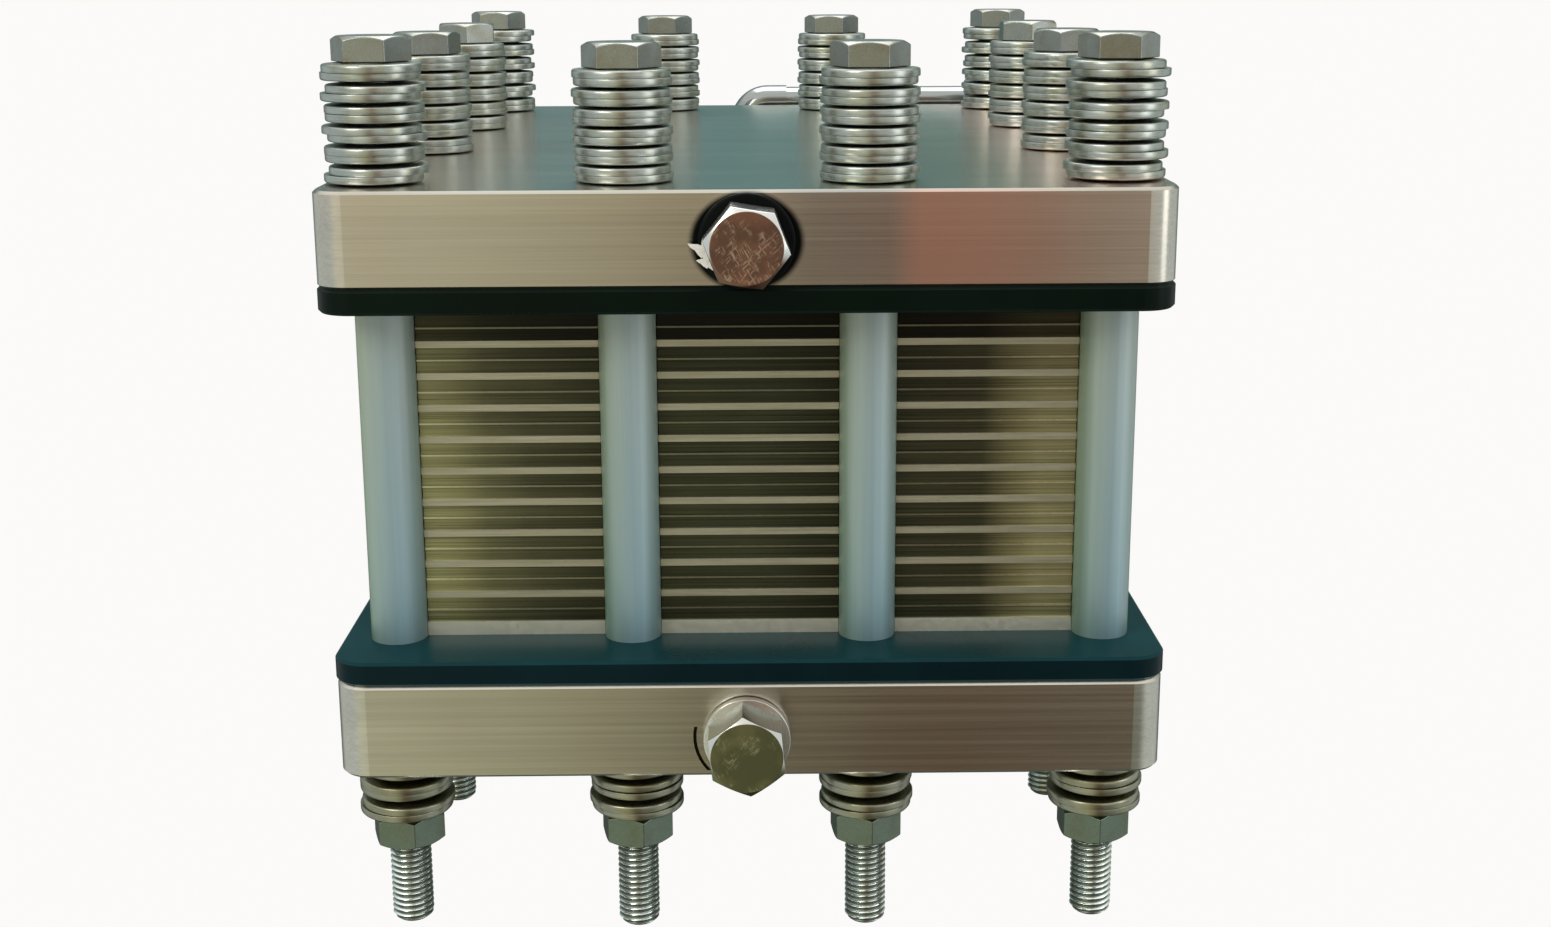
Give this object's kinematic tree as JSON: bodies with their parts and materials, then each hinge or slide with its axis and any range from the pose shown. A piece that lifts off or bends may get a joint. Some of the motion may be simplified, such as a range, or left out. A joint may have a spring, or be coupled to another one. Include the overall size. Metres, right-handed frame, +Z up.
{
  "type": "plate heat exchanger",
  "caption": "Clamped plate stack between two thick end plates, drawn together by sleeved tie bolts with disc springs; side ports in each end plate.",
  "frame": {"origin": "middle of the tie-bolt pattern, on the plane of the lowest bolt ends, where the part stands", "axes": "+Z up along the tie bolts, +Y from the face with both plugs to the face with the tube, +X to the right seen from the plugs"},
  "size_m": [0.2324, 0.3534, 0.2588],
  "materials": {
    "plate_steel": "brushed stainless, long fine grain along X",
    "insulator_resin": "near-black blue-green laminate, glossy",
    "sleeve_plastic": "satin pale blue-grey tube",
    "spring_steel": "bright disc springs with a slight straw tint",
    "bolt_steel": "stainless hexagon bolts and nuts",
    "stack_metal": "pale sheared edges",
    "frame_plastic": "dark olive-brown moulded frame",
    "sheet_metal": "thin foil edge",
    "seal_rubber": "black rubber",
    "plug_steel": "turned stainless, scratched face",
    "tape_white": "thin PTFE tape",
    "tube_steel": "polished stainless tube",
    "dark_fitting": "dark nut and cap"
  },
  "bodies": {
    "stack_and_base": {"bolt_sleeves": "sleeve_plastic", "bottom_end_plate": "plate_steel", "bottom_insulator": "insulator_resin", "bottom_manifold_seals": "seal_rubber", "bottom_terminal_plate": "stack_metal", "channel_frames_01": "frame_plastic", "channel_frames_02": "frame_plastic", "channel_frames_03": "frame_plastic", "channel_frames_04": "frame_plastic", "channel_frames_05": "frame_plastic", "channel_frames_06": "frame_plastic", "channel_frames_07": "frame_plastic", "channel_frames_08": "frame_plastic", "channel_frames_09": "frame_plastic", "channel_frames_10": "frame_plastic", "lower_disc_springs": "spring_steel", "separator_plate_01": "stack_metal", "separator_plate_02": "stack_metal", "separator_plate_03": "stack_metal", "separator_plate_04": "stack_metal", "separator_plate_05": "stack_metal", "separator_plate_06": "stack_metal", "separator_plate_07": "stack_metal", "separator_plate_08": "stack_metal", "separator_plate_09": "stack_metal", "tie_bolts_corner": "bolt_steel", "tie_bolts_side": "bolt_steel", "tie_nuts": "bolt_steel", "top_terminal_plate": "stack_metal", "transfer_sheet_01": "sheet_metal", "transfer_sheet_02": "sheet_metal", "transfer_sheet_03": "sheet_metal", "transfer_sheet_04": "sheet_metal", "transfer_sheet_05": "sheet_metal", "transfer_sheet_06": "sheet_metal", "transfer_sheet_07": "sheet_metal", "transfer_sheet_08": "sheet_metal", "transfer_sheet_09": "sheet_metal", "transfer_sheet_10": "sheet_metal", "upper_disc_springs_corner": "spring_steel", "upper_disc_springs_side": "spring_steel"},
    "top_cover": {"top_end_plate": "plate_steel", "top_insulator": "insulator_resin", "top_manifold_seals": "seal_rubber", "rear_elbow": "tube_steel", "rear_elbow_seal": "seal_rubber", "rear_tube": "tube_steel", "tube_nut": "dark_fitting", "tube_cap": "dark_fitting"},
    "upper_seal": {"upper_plug_seal": "seal_rubber", "thread_seal_tape": "tape_white"},
    "upper_plug": {"upper_port_plug": "plug_steel"},
    "lower_seal": {"lower_plug_seal": "seal_rubber"},
    "lower_plug": {"lower_port_plug": "plug_steel"}
  },
  "joints": [
    {"name": "top_cover_lift", "type": "slide", "parent": "stack_and_base", "child": "top_cover", "axis": [0, 0, 1], "range_m": [0, 0.002], "stiffness_N_per_m": 20000, "springref_m": -0.005, "deforming": ["upper_disc_springs_corner", "upper_disc_springs_side"]},
    {"name": "upper_plug_travel", "type": "slide", "parent": "top_cover", "child": "upper_seal", "axis": [0, -1, 0], "range_m": [0, 0.0147]},
    {"name": "upper_plug_turn", "type": "hinge", "parent": "upper_seal", "child": "upper_plug", "pos_m": [0, -0.16, 0.206], "axis": [0, -1, 0], "range_deg": [0, 3960]},
    {"name": "lower_plug_travel", "type": "slide", "parent": "stack_and_base", "child": "lower_seal", "axis": [0, -1, 0], "range_m": [0, 0.0147]},
    {"name": "lower_plug_turn", "type": "hinge", "parent": "lower_seal", "child": "lower_plug", "pos_m": [-0.001, -0.16, 0.067], "axis": [0, -1, 0], "range_deg": [0, 3960]}
  ],
  "couplings": [
    {"joint": "upper_plug_turn", "follows": "upper_plug_travel", "rad_per_m": 4699.5},
    {"joint": "lower_plug_turn", "follows": "lower_plug_travel", "rad_per_m": 4699.5}
  ]
}
